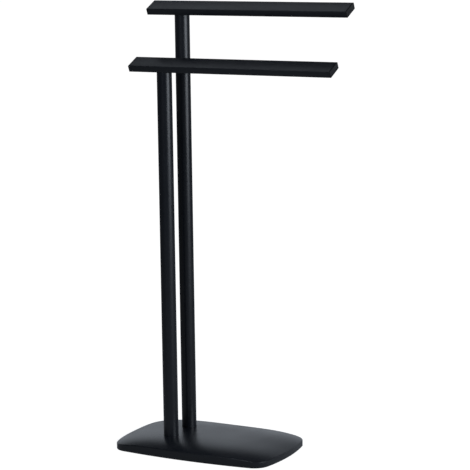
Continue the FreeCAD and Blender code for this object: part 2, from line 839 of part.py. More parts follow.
for item in DOCUMENT.Objects:
    if "Invalid" in item.State or "Error" in item.State:
        raise RuntimeError("%s was not made: %s" % (item.Label, item.State))
for node in NODES:
    if node.Shape.isNull() or not node.Shape.isValid() or not node.Shape.Solids:
        raise RuntimeError("%s has no sound solid" % node.Label)

os.makedirs("parts", exist_ok=True)
for node in NODES:
    node.Shape.exportStep(os.path.join("parts", node.Label + ".step"))
    print("%-22s %2d solids %12.1f mm3" % (node.Label, len(node.Shape.Solids), node.Shape.Volume))
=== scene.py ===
# A freestanding towel stand: two round posts on a crowned, weighted base, each with one flat arm.
# Lengths are metres. +Z is up, the arms run along X, and the front of the stand faces -Y.
import math

import bmesh
import bpy
from mathutils import Matrix, Vector, geometry


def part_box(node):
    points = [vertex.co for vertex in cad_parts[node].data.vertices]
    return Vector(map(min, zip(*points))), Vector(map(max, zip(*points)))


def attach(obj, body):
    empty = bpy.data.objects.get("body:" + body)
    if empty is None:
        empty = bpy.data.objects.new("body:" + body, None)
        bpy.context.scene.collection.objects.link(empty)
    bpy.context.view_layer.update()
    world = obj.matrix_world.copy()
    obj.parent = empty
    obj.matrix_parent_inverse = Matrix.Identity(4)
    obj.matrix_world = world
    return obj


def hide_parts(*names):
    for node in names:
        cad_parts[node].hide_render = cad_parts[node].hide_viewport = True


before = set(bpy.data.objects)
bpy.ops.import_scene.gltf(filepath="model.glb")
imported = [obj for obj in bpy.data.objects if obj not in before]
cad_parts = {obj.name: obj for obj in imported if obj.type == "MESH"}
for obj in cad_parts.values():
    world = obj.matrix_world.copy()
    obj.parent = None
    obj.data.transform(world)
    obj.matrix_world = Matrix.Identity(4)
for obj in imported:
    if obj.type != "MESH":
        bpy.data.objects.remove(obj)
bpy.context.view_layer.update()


# --------------------------------------------------------------------------------------------
# Base cover
# One steel pressing: an upright wall, a tight round at the rim and a crowned top with a hole for
# each post. It is powder coated matt black, and it hides everything that keeps the stand upright.
# --------------------------------------------------------------------------------------------
cover_low, cover_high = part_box("base_cover")
half_length = cover_high.x
half_width = cover_high.y
crown_height = cover_high.z
hem_height = cover_low.z
short_side_rim = 0.0128
long_side_rim = 0.0174
long_side_radius = 1.255
short_side_radius = 0.393
corner_radius = 0.033
rim_round = 0.0016
rim_slope = 0.33
cover_wall = 0.0015
cut_edge = 0.00025
cut_edge_angle = math.radians(60)
hole_radius = 0.0153
blank_depth = 0.04

# how finely the sheet is divided
short_side_steps = 20
corner_steps = 24
long_side_steps = 36
rim_steps = 7
border_insets = (0.0025, 0.0048)
border_clear_share = 0.6
lattice_step = 0.0042
hole_sides = 64
hole_ring_step = 0.0015
hole_clear_zone = 0.0045
inside_only = 1
merge_distance = 1e-7


def middle(node):
    """The middle of a CAD node's box."""
    low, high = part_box(node)
    return (low + high) / 2


right_angle = math.pi / 2
front_axis = middle("front_post_insert")
rear_axis = middle("rear_post_insert")
post_axes = [front_axis.xy, rear_axis.xy]

# the corner's centre lies where both side arcs, moved in by the corner's radius, cross
short_centre = Vector((half_length - short_side_radius, 0))
long_centre = Vector((0, half_width - long_side_radius))
corner_centre = max(
    geometry.intersect_sphere_sphere_2d(
        short_centre, short_side_radius - corner_radius,
        long_centre, long_side_radius - corner_radius,
    ),
    key=lambda point: point.y,
)
short_lean = math.atan2(corner_centre.y, corner_centre.x - short_centre.x)
long_lean = math.atan2(corner_centre.y - long_centre.y, corner_centre.x)


def outline_point(turn, inset=0.0):
    """Point of the base's outline, moved inwards by inset, that faces the direction turn."""
    across = abs(math.cos(turn))
    along = abs(math.sin(turn))
    lean = math.atan2(along, across)
    centre, radius = corner_centre, corner_radius
    if lean <= short_lean:
        centre, radius = short_centre, short_side_radius
    elif lean >= long_lean:
        centre, radius = long_centre, long_side_radius
    x = centre.x + (radius - inset) * across
    y = centre.y + (radius - inset) * along
    return Vector((math.copysign(x, math.cos(turn)), math.copysign(y, math.sin(turn))))


def outline_turns():
    """Directions, anticlockwise from +X, at which the outline is sampled."""
    quarter = []
    for start, end, steps in (
        (0.0, short_lean, short_side_steps),
        (short_lean, long_lean, corner_steps),
        (long_lean, right_angle, long_side_steps),
    ):
        quarter += [start + (end - start) * step / steps for step in range(steps)]
    mirrored = [right_angle - turn for turn in reversed(quarter[1:] + [right_angle])]
    turns = []
    for quadrant, part in enumerate((quarter, mirrored, quarter, mirrored)):
        turns += [quadrant * right_angle + turn for turn in part]
    return turns


def edge_distance(point):
    """How far a point lies inside the outline."""
    folded = Vector((abs(point.x), abs(point.y)))
    to_corner = folded - corner_centre
    lean = math.atan2(to_corner.y, to_corner.x)
    if short_lean < lean < long_lean:
        return corner_radius - to_corner.length
    to_short_side = short_side_radius - (folded - short_centre).length
    to_long_side = long_side_radius - (folded - long_centre).length
    return min(to_short_side, to_long_side)


def circle_points(centre, radius, steps):
    """Points evenly round a circle, anticlockwise from +X."""
    angles = [2 * math.pi * step / steps for step in range(steps)]
    return [centre + radius * Vector((math.cos(angle), math.sin(angle))) for angle in angles]


def new_piece(name, data):
    """An object that carries a mesh, a camera or a lamp."""
    piece = bpy.data.objects.new(name, data)
    bpy.context.scene.collection.objects.link(piece)
    return piece


def bridge(sheet, ring, following):
    """Quads between two rings of as many points."""
    for index in range(len(ring)):
        after = (index + 1) % len(ring)
        sheet.faces.new((ring[index], ring[after], following[after], following[index]))


def cover_blank():
    """The cover before it gets its crown: a flat top, the rim's round and a deep wall."""
    turns = outline_turns()
    lean = math.atan(rim_slope)
    rows = [(0.0, -blank_depth)]
    for step in range(rim_steps + 1):
        angle = math.pi - (right_angle - lean) * step / rim_steps
        inset = rim_round * (1 + math.cos(angle))
        drop = rim_round * (math.sin(angle) - 1 / math.cos(lean) - rim_slope * math.cos(angle))
        rows.append((inset, drop))
    rows += [(inset, 0.0) for inset in border_insets]
    sheet = bmesh.new()
    rings = []
    for inset, drop in rows:
        ring = []
        for turn in turns:
            point = outline_point(turn, inset)
            ring.append(sheet.verts.new((point.x, point.y, drop)))
        rings.append(ring)
    for ring, following in zip(rings, rings[1:]):
        bridge(sheet, ring, following)
    fill_top(sheet, rings[-1], rows[-1][0])
    bmesh.ops.recalc_face_normals(sheet, faces=sheet.faces)
    mesh = bpy.data.meshes.new("base_cover_blank")
    sheet.to_mesh(mesh)
    sheet.free()
    return mesh


def fill_top(sheet, border, border_inset):
    """Even triangles between the inner ring of the rim and the two post holes."""
    points = [vert.co.xy for vert in border]
    loops = [list(range(len(border)))]
    for axis in post_axes:
        loops.append([len(points) + side for side in range(hole_sides)])
        points += circle_points(axis, hole_radius, hole_sides)
        for ring in (1, 2):
            points += circle_points(axis, hole_radius + ring * hole_ring_step, hole_sides // ring)
    row_step = lattice_step * math.sqrt(3) / 2
    rows = int(half_width / row_step)
    columns = int(half_length / lattice_step) + 1
    for row in range(-rows, rows + 1):
        shift = lattice_step / 2 * (row % 2)
        for column in range(-columns, columns + 1):
            point = Vector((column * lattice_step + shift, row * row_step))
            off_border = edge_distance(point) - border_inset
            off_holes = min((point - axis).length for axis in post_axes) - hole_radius
            if off_border > border_clear_share * lattice_step and off_holes > hole_clear_zone:
                points.append(point)
    edges = []
    for loop in loops:
        edges += zip(loop, loop[1:] + loop[:1])
    found = geometry.delaunay_2d_cdt(points, edges, [], inside_only, merge_distance)
    spots, triangles = found[0], found[2]
    corners = list(border)
    for spot in spots[len(border):]:
        corners.append(sheet.verts.new((spot.x, spot.y, 0.0)))
    for triangle in triangles:
        centroid = sum((spots[corner] for corner in triangle), Vector((0, 0))) / 3
        if min((centroid - axis).length for axis in post_axes) > hole_radius:
            sheet.faces.new([corners[corner] for corner in triangle])


def wire(tree, kind, inputs=None, **options):
    """Add a node, set its options, and fill its inputs with values or other nodes' outputs."""
    added = tree.nodes.new(kind)
    for option, value in options.items():
        setattr(added, option, value)
    for socket, value in (inputs or {}).items():
        if isinstance(value, bpy.types.Node):
            value = value.outputs[0]
        if isinstance(value, bpy.types.NodeSocket):
            tree.links.new(value, added.inputs[socket])
        else:
            added.inputs[socket].default_value = value
    return added


def geometry_tree(name, inputs):
    """A Geometry Nodes tree that takes a mesh and the named inputs; gives back tree and inlet."""
    tree = bpy.data.node_groups.new(name, "GeometryNodeTree")
    tree.interface.new_socket("Geometry", in_out="OUTPUT", socket_type="NodeSocketGeometry")
    tree.interface.new_socket("Geometry", in_out="INPUT", socket_type="NodeSocketGeometry")
    for label, kind in inputs:
        tree.interface.new_socket(label, in_out="INPUT", socket_type=kind)
    return tree, tree.nodes.new("NodeGroupInput")


def close_tree(tree, inlet, shape):
    """End a tree in Realize Instances and Set Material."""
    real = wire(tree, "GeometryNodeRealizeInstances", {"Geometry": shape})
    inputs = {"Geometry": real, "Material": inlet.outputs["Material"]}
    coated = wire(tree, "GeometryNodeSetMaterial", inputs)
    wire(tree, "NodeGroupOutput", {0: coated})


def run_tree(piece, tree, values):
    """Put a tree on a piece as a modifier, with its inputs set by their identifiers."""
    modifier = piece.modifiers.new(tree.name, "NODES")
    modifier.node_group = tree
    for item in tree.interface.items_tree:
        if item.in_out == "INPUT" and item.name in values:
            modifier[item.identifier] = values[item.name]
    return modifier


def crown_tree():
    """Lifts each point by a height that falls with the fourth power of its place along X and Y."""
    tree, inlet = geometry_tree("press_the_crown", [
        ("Crown Height", "NodeSocketFloat"),
        ("Half Length", "NodeSocketFloat"),
        ("Half Width", "NodeSocketFloat"),
        ("Fall To Short Sides", "NodeSocketFloat"),
        ("Fall To Long Sides", "NodeSocketFloat"),
        ("Trim Height", "NodeSocketFloat"),
        ("Material", "NodeSocketMaterial"),
    ])
    place = wire(tree, "ShaderNodeSeparateXYZ", {0: wire(tree, "GeometryNodeInputPosition")})
    height = inlet.outputs["Crown Height"]
    for axis, half, fall in (
        ("X", "Half Length", "Fall To Short Sides"),
        ("Y", "Half Width", "Fall To Long Sides"),
    ):
        inputs = {0: place.outputs[axis], 1: inlet.outputs[half]}
        share = wire(tree, "ShaderNodeMath", inputs, operation="DIVIDE")
        square = wire(tree, "ShaderNodeMath", {0: share, 1: share}, operation="MULTIPLY")
        fourth = wire(tree, "ShaderNodeMath", {0: square, 1: square}, operation="MULTIPLY")
        drop = wire(tree, "ShaderNodeMath", {0: fourth, 1: inlet.outputs[fall]}, operation="MULTIPLY")
        height = wire(tree, "ShaderNodeMath", {0: height, 1: drop}, operation="SUBTRACT")
    lifted = wire(tree, "ShaderNodeMath", {0: height, 1: place.outputs["Z"]}, operation="ADD")
    inputs = {0: lifted, 1: inlet.outputs["Trim Height"]}
    trimmed = wire(tree, "ShaderNodeMath", inputs, operation="MAXIMUM")
    spot = wire(tree, "ShaderNodeCombineXYZ", {0: place.outputs["X"], 1: place.outputs["Y"], 2: trimmed})
    inputs = {"Geometry": inlet.outputs["Geometry"], "Position": spot}
    close_tree(tree, inlet, wire(tree, "GeometryNodeSetPosition", inputs))
    return tree


def make_plain(piece):
    """Turn a piece with its modifiers into one plain mesh."""
    depsgraph = bpy.context.evaluated_depsgraph_get()
    evaluated = piece.evaluated_get(depsgraph)
    mesh = bpy.data.meshes.new_from_object(evaluated, depsgraph=depsgraph)
    piece.modifiers.clear()
    piece.data = mesh
    return piece


def smooth_below(mesh, degrees):
    """Shade a mesh smooth, but keep edges that are sharper than an angle."""
    mesh.shade_smooth()
    mesh.set_sharp_from_angle(angle=math.radians(degrees))


def new_finish(name):
    """An empty material; gives back the material, its tree and its surface point on the piece."""
    finish = bpy.data.materials.new(name)
    finish.use_nodes = True
    tree = finish.node_tree
    tree.nodes.clear()
    point = wire(tree, "ShaderNodeTexCoord").outputs["Object"]
    return finish, tree, point


def noise(tree, point, scale, detail=2.0, rough=0.5):
    """A cloudy pattern with as many spots to the metre as its scale says."""
    inputs = {"Vector": point, "Scale": scale, "Detail": detail, "Roughness": rough}
    return wire(tree, "ShaderNodeTexNoise", inputs)


def spread(tree, value, low, high, start=0.3, end=0.7):
    """Stretch a pattern's middle values over a range."""
    inputs = {"Value": value, "From Min": start, "From Max": end, "To Min": low, "To Max": high}
    return wire(tree, "ShaderNodeMapRange", inputs)


def blend_colours(tree, share, dark, light):
    """A colour between two, by a share from 0 to 1."""
    mixed = wire(tree, "ShaderNodeMix", {0: share, 6: (*dark, 1), 7: (*light, 1)}, data_type="RGBA")
    return mixed.outputs[2]


def close_finish(tree, shader):
    """End a material's tree in its output."""
    wire(tree, "ShaderNodeOutputMaterial", {"Surface": shader})


def powder_coat():
    """Baked polyester powder: a fine orange peel, a finer grain, and gloss that drifts a little."""
    finish, tree, point = new_finish("matt_black_powder_coat")
    drift = noise(tree, point, scale=14.0, detail=3.0)
    peel = noise(tree, point, scale=520.0, detail=2.0)
    grain = noise(tree, point, scale=2600.0, detail=1.0)
    grain_share = 0.25
    colour = blend_colours(tree, drift, dark=(0.005, 0.0064, 0.0095), light=(0.007, 0.0084, 0.012))
    gloss = spread(tree, drift, low=0.29, high=0.34)
    flecks = spread(tree, grain, low=-0.03, high=0.03)
    roughness = wire(tree, "ShaderNodeMath", {0: gloss, 1: flecks}, operation="ADD")
    inputs = {0: grain, 1: grain_share, 2: peel}
    relief = wire(tree, "ShaderNodeMath", inputs, operation="MULTIPLY_ADD")
    bump = wire(tree, "ShaderNodeBump", {"Strength": 0.5, "Distance": 0.00006, "Height": relief})
    close_finish(tree, wire(tree, "ShaderNodeBsdfPrincipled", {
        "Base Color": colour, "Roughness": roughness, "Specular IOR Level": 0.4, "Normal": bump,
    }))
    return finish


def dress(piece, slot_name, *nodes):
    """A finished piece stands still with the stand and replaces CAD nodes."""
    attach(piece, "root")
    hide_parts(*nodes)


coat = powder_coat()
base_cover = new_piece("base_cover_shell", cover_blank())
run_tree(base_cover, crown_tree(), {
    "Crown Height": crown_height,
    "Half Length": half_length,
    "Half Width": half_width,
    "Fall To Short Sides": crown_height - short_side_rim,
    "Fall To Long Sides": crown_height - long_side_rim,
    "Trim Height": hem_height,
    "Material": coat,
})
thickness = base_cover.modifiers.new("sheet", "SOLIDIFY")
thickness.thickness = cover_wall
thickness.offset = -1
thickness.use_even_offset = True
cut_edges = base_cover.modifiers.new("cut_edges", "BEVEL")
cut_edges.width = cut_edge
cut_edges.segments = 2
cut_edges.limit_method = "ANGLE"
cut_edges.angle_limit = cut_edge_angle
cut_edges.use_clamp_overlap = False
make_plain(base_cover)
smooth_below(base_cover.data, degrees=40)
dress(base_cover, "satin_black", "base_cover")


# --------------------------------------------------------------------------------------------
# What the cover hides
# A cast-iron weight with a socket boss for each post, lugs welded inside the cover's wall, turned
# steel parts in the posts' feet and tops, and the zinc-plated plate, washers and screws below. They
# keep their solid shapes.
# --------------------------------------------------------------------------------------------
def cast_iron():
    """Sand-cast grey iron under a thin primer."""
    finish, tree, point = new_finish("primed_cast_iron")
    sand = noise(tree, point, scale=700.0, detail=4.0, rough=0.6)
    patches = noise(tree, point, scale=25.0, detail=4.0, rough=0.6)
    colour = blend_colours(tree, patches, dark=(0.11, 0.11, 0.115), light=(0.2, 0.2, 0.205))
    roughness = spread(tree, patches, low=0.62, high=0.82)
    bump = wire(tree, "ShaderNodeBump", {"Strength": 0.6, "Distance": 0.0004, "Height": sand})
    close_finish(tree, wire(tree, "ShaderNodeBsdfPrincipled", {
        "Base Color": colour, "Roughness": roughness, "Metallic": 0.4, "Normal": bump,
    }))
    return finish


def metal(name, dark, light, rough_low, rough_high, grain_scale, stretch, depth):
    """A bare or plated steel; where its grain is stretched, it runs longer one way than another."""
    finish, tree, point = new_finish(name)
    stretched = wire(tree, "ShaderNodeMapping", {"Vector": point, "Scale": stretch})
    grain = noise(tree, stretched, grain_scale, detail=3.0, rough=0.6)
    stains = noise(tree, point, scale=60.0, detail=4.0, rough=0.6)
    colour = blend_colours(tree, stains, dark, light)
    roughness = spread(tree, grain, rough_low, rough_high)
    bump = wire(tree, "ShaderNodeBump", {"Strength": 0.4, "Distance": depth, "Height": grain})
    close_finish(tree, wire(tree, "ShaderNodeBsdfPrincipled", {
        "Base Color": colour, "Roughness": roughness, "Metallic": 1.0, "Normal": bump,
    }))
    return finish


def finish_node(name, finish):
    """Give a CAD node its finish; its shape stays."""
    for material_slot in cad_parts[name].material_slots:
        material_slot.material = finish


finish_node("ballast_plate", cast_iron())

turned_steel = metal(
    "turned_steel",
    dark=(0.36, 0.36, 0.37),
    light=(0.5, 0.5, 0.51),
    rough_low=0.28,
    rough_high=0.42,
    grain_scale=900.0,
    stretch=(0.15, 0.15, 4.0),
    depth=0.00003,
)
for steel_node in (
    "cover_lugs", "front_post_insert", "rear_post_insert", "front_post_sleeve", "rear_post_sleeve",
    "post_pins", "front_arm_spigot", "rear_arm_spigot",
):
    finish_node(steel_node, turned_steel)

zinc_plate = metal(
    "zinc_plated_steel",
    dark=(0.5, 0.51, 0.54),
    light=(0.66, 0.67, 0.69),
    rough_low=0.24,
    rough_high=0.36,
    grain_scale=500.0,
    stretch=(1.0, 1.0, 1.0),
    depth=0.00002,
)
for zinc_node in ("post_spring_washers", "post_washers", "base_plate_screws"):
    finish_node(zinc_node, zinc_plate)

zinc_sheet = metal(
    "zinc_sheet",
    dark=(0.44, 0.45, 0.47),
    light=(0.6, 0.61, 0.63),
    rough_low=0.3,
    rough_high=0.45,
    grain_scale=180.0,
    stretch=(1.0, 1.0, 1.0),
    depth=0.00002,
)
finish_node("base_plate", zinc_sheet)


# --------------------------------------------------------------------------------------------
# Floor mat
# A die-cut sheet of closed-cell foam rubber, glued under the base plate, with a hole below each
# bolt. The stand rests on it.
# --------------------------------------------------------------------------------------------
def foam_rubber():
    """Black closed-cell foam: a pebble of small cells, and grey where it has worn."""
    finish, tree, point = new_finish("foam_rubber")
    cells = wire(tree, "ShaderNodeTexVoronoi", {"Vector": point, "Scale": 1100.0})
    wear = noise(tree, point, scale=30.0, detail=4.0)
    colour = blend_colours(tree, wear, dark=(0.022, 0.022, 0.023), light=(0.038, 0.038, 0.039))
    bump = wire(tree, "ShaderNodeBump", {
        "Strength": 0.5, "Distance": 0.0002, "Height": cells.outputs["Distance"],
    })
    close_finish(tree, wire(tree, "ShaderNodeBsdfPrincipled", {
        "Base Color": colour, "Roughness": spread(tree, wear, low=0.8, high=0.92), "Normal": bump,
    }))
    return finish


finish_node("floor_mat", foam_rubber())


# --------------------------------------------------------------------------------------------
# Posts
# Round steel tube, square at the foot and cut at the top to the slope of its arm, with a
# countersunk hole behind for the screw that clamps the arm. Powder coated like the cover.
# --------------------------------------------------------------------------------------------
post_radius = 0.015
post_wall = 0.0015
post_edge = 0.0003
post_sides = 96
screw_zone = 0.008
arm_tilt = math.radians(24.3)
arm_width = 0.039
arm_thickness = 0.0136
screw_hole_radius = 0.0032
screw_hole_flare = 0.0004


def loft(name, rings, closed=False):
    """Join rings of as many points by quads; the ends are closed by faces or to each other."""
    shape = bmesh.new()
    loops = [[shape.verts.new(point) for point in ring] for ring in rings]
    for ring, following in zip(loops, loops[1:]):
        bridge(shape, ring, following)
    if closed:
        bridge(shape, loops[-1], loops[0])
    else:
        shape.faces.new(loops[0])
        shape.faces.new(loops[-1])
    bmesh.ops.recalc_face_normals(shape, faces=shape.faces)
    mesh = bpy.data.meshes.new(name)
    shape.to_mesh(mesh)
    shape.free()
    return mesh


def turned(name, profile, sides=48, closed=False):
    """A shape turned about Z; a profile's radius or height may also be worked out by the angle."""
    rings = []
    for radius, height in profile:
        ring = []
        for side in range(sides):
            angle = 2 * math.pi * side / sides
            reach = radius(angle) if callable(radius) else radius
            level = height(angle) if callable(height) else height
            ring.append(Vector((reach * math.cos(angle), reach * math.sin(angle), level)))
        rings.append(ring)
    return loft(name, rings, closed)


def post_tube(tower):
    """A tower is a post with its arm. The tube's wall is a closed run of rings, then holed."""
    axis = middle(tower + "_post_insert")
    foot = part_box(tower + "_post")[0].z
    top = middle(tower + "_arm").z - arm_thickness / 2 / math.cos(arm_tilt)
    screw_height = middle(tower + "_post_sleeve").z
    bore = post_radius - post_wall
    profile = [
        (post_radius - post_edge, foot, 0),
        (post_radius, foot + post_edge, 0),
        (post_radius, screw_height - screw_zone, 0),
        (post_radius, screw_height + screw_zone, 0),
        (post_radius, top - post_edge, 1),
        (post_radius - post_edge, top, 1),
        (bore, top, 1),
        (bore, screw_height + screw_zone, 0),
        (bore, screw_height - screw_zone, 0),
        (bore, foot, 0),
    ]
    rings = []
    for radius, height, sloped in profile:
        ring = []
        for point in circle_points(Vector((0, 0)), radius, post_sides):
            level = height + sloped * math.tan(arm_tilt) * point.y
            ring.append(Vector((axis.x + point.x, axis.y + point.y, level)))
        rings.append(ring)
    post = new_piece(tower + "_post_tube", loft(tower + "_post_tube", rings, closed=True))
    cutter = new_piece("screw_hole", turned("screw_hole", [
        (screw_hole_radius, 0.0),
        (screw_hole_radius, post_radius - screw_hole_flare),
        (screw_hole_radius + 2 * screw_hole_flare, post_radius + screw_hole_flare),
    ]))
    towards_rear = Matrix.Rotation(-right_angle, 4, "X")
    cutter.data.transform(Matrix.Translation((axis.x, axis.y, screw_height)) @ towards_rear)
    cut = post.modifiers.new("screw_hole", "BOOLEAN")
    cut.object = cutter
    cut.solver = "EXACT"
    make_plain(post)
    bpy.data.objects.remove(cutter)
    return post


for tower in ("front", "rear"):
    post = post_tube(tower)
    post.data.materials.clear()
    post.data.materials.append(coat)
    smooth_below(post.data, degrees=30)
    dress(post, "satin_black", tower + "_post")


# --------------------------------------------------------------------------------------------
# Bolts below the posts
# A zinc-plated hexagon bolt holds each post down to the weight. Its head shows through the holes
# in the mat and the plate.
# --------------------------------------------------------------------------------------------
bolt_flats = 0.013
bolt_radius = 0.004
bolt_chamfer = 0.0007
head_height = 0.0053
head_chamfer_angle = math.radians(30)
head_edge = 0.0002
dish_depth = 0.0003
dish_middle = 0.001
dish_radius = 0.0032
dish_rim = 0.0036
face_circle = bolt_flats / 2 * 0.94
seat_circle = bolt_flats / 2 * 0.95


def hexagon(flats):
    """Distance from the middle to the rim of a hexagon, by the angle."""
    sixth = math.pi / 3

    def reach(angle):
        return flats / 2 / math.cos((angle + sixth / 2) % sixth - sixth / 2)

    return reach


def copies_tree():
    """Sets out one fastener on every point."""
    tree, inlet = geometry_tree("set_out_fasteners", [
        ("Fastener", "NodeSocketObject"),
        ("Turn", "NodeSocketRotation"),
        ("Material", "NodeSocketMaterial"),
    ])
    fastener = wire(tree, "GeometryNodeObjectInfo", {"Object": inlet.outputs["Fastener"]})
    close_tree(tree, inlet, wire(tree, "GeometryNodeInstanceOnPoints", {
        "Points": inlet.outputs["Geometry"],
        "Instance": fastener.outputs["Geometry"],
        "Rotation": inlet.outputs["Turn"],
    }))
    return tree


def set_out(name, pattern_mesh, places, turn, finish):
    """One piece made of a copy of the fastener at each place."""
    pattern = new_piece(name + "_pattern", pattern_mesh)
    smooth_below(pattern_mesh, degrees=30)
    mesh = bpy.data.meshes.new(name)
    mesh.from_pydata(places, [], [])
    piece = new_piece(name, mesh)
    run_tree(piece, fastener_tree, {"Fastener": pattern, "Turn": turn, "Material": finish})
    make_plain(piece)
    bpy.data.objects.remove(pattern)
    return piece


fastener_tree = copies_tree()
bolt_low, bolt_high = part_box("post_bolts")
bolt_length = bolt_high.z - bolt_low.z
bolt_rim = hexagon(bolt_flats)
bolt_mesh = turned("hexagon_bolt", [
    (dish_middle, dish_depth),
    (dish_radius, dish_depth),
    (dish_rim, 0.0),
    (face_circle, 0.0),
    (bolt_rim, lambda angle: (bolt_rim(angle) - face_circle) * math.tan(head_chamfer_angle)),
    (bolt_rim, head_height - head_edge),
    (seat_circle, head_height),
    (bolt_radius, head_height),
    (bolt_radius, bolt_length - bolt_chamfer),
    (bolt_radius - bolt_chamfer, bolt_length),
])
bolt_places = [(axis.x, axis.y, bolt_low.z) for axis in post_axes]
bolts = set_out("hexagon_bolts", bolt_mesh, bolt_places, (0, 0, 0), zinc_plate)
dress(bolts, "zinc_steel", "post_bolts")


# --------------------------------------------------------------------------------------------
# Arms
# Flat rectangular steel tube with rounded long edges, tipped so that the front edge hangs lower.
# Welded to the peg that stands in the post, and powder coated with it.
# --------------------------------------------------------------------------------------------
arm_edge_radius = 0.0016
arm_wall = 0.0015
arm_end_edge = 0.0003
least_edge_radius = 0.0002
edge_steps = 6


def arm_section(inset):
    """The arm's section, moved inwards: points across and along its thickness."""
    radius = max(arm_edge_radius - inset, least_edge_radius)
    half_width_in = arm_width / 2 - inset - radius
    half_thickness_in = arm_thickness / 2 - inset - radius
    points = []
    for corner, (side, face) in enumerate(((1, 1), (-1, 1), (-1, -1), (1, -1))):
        for step in range(edge_steps + 1):
            angle = (corner + step / edge_steps) * right_angle
            points.append(Vector((
                side * half_width_in + radius * math.cos(angle),
                face * half_thickness_in + radius * math.sin(angle),
            )))
    return points


def tipped_ring(tower, x, inset):
    """One ring of an arm or a cap, at its place on the stand."""
    centre = middle(tower + "_arm")
    ring = []
    for across, thick in arm_section(inset):
        y = centre.y + across * math.cos(arm_tilt) - thick * math.sin(arm_tilt)
        z = centre.z + across * math.sin(arm_tilt) + thick * math.cos(arm_tilt)
        ring.append(Vector((x, y, z)))
    return ring


def arm_mesh(tower):
    """The tube's wall: rings along the outside, then back along the inside."""
    low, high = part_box(tower + "_arm")
    stations = [
        (low.x, arm_end_edge), (low.x + arm_end_edge, 0.0), (high.x - arm_end_edge, 0.0),
        (high.x, arm_end_edge), (high.x, arm_wall), (low.x, arm_wall),
    ]
    rings = [tipped_ring(tower, x, inset) for x, inset in stations]
    return loft(tower + "_arm_tube", rings, closed=True)


for tower in ("front", "rear"):
    arm = new_piece(tower + "_arm_tube", arm_mesh(tower))
    arm.data.materials.append(coat)
    smooth_below(arm.data, degrees=30)
    dress(arm, "satin_black", tower + "_arm")


# --------------------------------------------------------------------------------------------
# End caps
# Moulded black plastic plugs that close the arms' ends: a plate with a soft edge outside and a
# hollow box that grips inside the tube.
# --------------------------------------------------------------------------------------------
cap_thickness = 0.0025
cap_edge = 0.0007
cap_edge_steps = 4
cap_seat_edge = 0.0002
cap_plug_length = 0.014
cap_plug_inset = 0.0017
cap_plug_wall = 0.002
cap_plug_lead = 0.0005


def moulded_plastic():
    """Injection-moulded polypropylene with a fine spark-eroded face."""
    finish, tree, point = new_finish("moulded_black_plastic")
    spark = noise(tree, point, scale=1800.0, detail=2.0)
    drift = noise(tree, point, scale=40.0, detail=2.0)
    colour = blend_colours(tree, drift, dark=(0.007, 0.0073, 0.0085), light=(0.0095, 0.0098, 0.011))
    bump = wire(tree, "ShaderNodeBump", {"Strength": 0.3, "Distance": 0.00005, "Height": spark})
    close_finish(tree, wire(tree, "ShaderNodeBsdfPrincipled", {
        "Base Color": colour, "Roughness": spread(tree, spark, low=0.48, high=0.6), "Normal": bump,
        "Specular IOR Level": 0.2,
    }))
    return finish


def cap_mesh(tower, side):
    """Rings from the plug's hollow, over its rim and back, to the outer face."""
    low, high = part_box(tower + "_arm")
    end, outwards = (high.x, 1) if side == "right" else (low.x, -1)
    stations = [
        (0.0, cap_plug_inset + cap_plug_wall),
        (-cap_plug_length, cap_plug_inset + cap_plug_wall),
        (-cap_plug_length, cap_plug_inset + cap_plug_lead),
        (cap_plug_lead - cap_plug_length, cap_plug_inset),
        (0.0, cap_plug_inset),
        (0.0, cap_seat_edge),
        (cap_seat_edge, 0.0),
    ]
    for step in range(cap_edge_steps + 1):
        angle = right_angle * step / cap_edge_steps
        stations.append((
            cap_thickness - cap_edge * (1 - math.sin(angle)), cap_edge * (1 - math.cos(angle))
        ))
    rings = [tipped_ring(tower, end + outwards * out, inset) for out, inset in stations]
    return loft("%s_%s_cap" % (tower, side), rings)


plastic = moulded_plastic()
for tower in ("front", "rear"):
    for side in ("left", "right"):
        cap = new_piece("%s_arm_%s_plug" % (tower, side), cap_mesh(tower, side))
        cap.data.materials.append(plastic)
        smooth_below(cap.data, degrees=35)
        dress(cap, "black_plastic", "%s_arm_%s_cap" % (tower, side))


# --------------------------------------------------------------------------------------------
# Clamping screws
# A black socket set screw sits in the hole behind each post and presses on a flat of the arm's
# peg, which clamps the arm. It is driven with a hexagon key.
# --------------------------------------------------------------------------------------------
screw_radius = 0.003
screw_chamfer = 0.0005
key_flats = 0.003
key_rim = hexagon(key_flats)
key_depth = 0.0025
key_cone = 0.0006
key_edge = 0.0002
peg_radius = 0.01
peg_flat_depth = 0.0008
screws_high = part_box("arm_grub_screws")[1]
screw_recess = rear_axis.y + post_radius - screws_high.y
screw_length = post_radius - screw_recess - (peg_radius - peg_flat_depth)

black_oxide = metal(
    "black_oxide_steel",
    dark=(0.04, 0.04, 0.044),
    light=(0.06, 0.06, 0.065),
    rough_low=0.3,
    rough_high=0.42,
    grain_scale=900.0,
    stretch=(1.0, 1.0, 1.0),
    depth=0.00002,
)
screw_mesh = turned("set_screw", [
    (key_cone, -key_depth - key_cone),
    (key_rim, -key_depth),
    (key_rim, -key_edge),
    (lambda angle: key_rim(angle) + key_edge, 0.0),
    (screw_radius - screw_chamfer, 0.0),
    (screw_radius, -screw_chamfer),
    (screw_radius, screw_chamfer - screw_length),
    (screw_radius - screw_chamfer, -screw_length),
])
screw_places = []
for tower, axis in (("front", front_axis), ("rear", rear_axis)):
    outer_face = axis.y + screws_high.y - rear_axis.y
    screw_places.append((axis.x, outer_face, middle(tower + "_post_sleeve").z))
set_screws = set_out("clamping_screws", screw_mesh, screw_places, (-right_angle, 0, 0), black_oxide)
dress(set_screws, "black_oxide_steel", "arm_grub_screws")


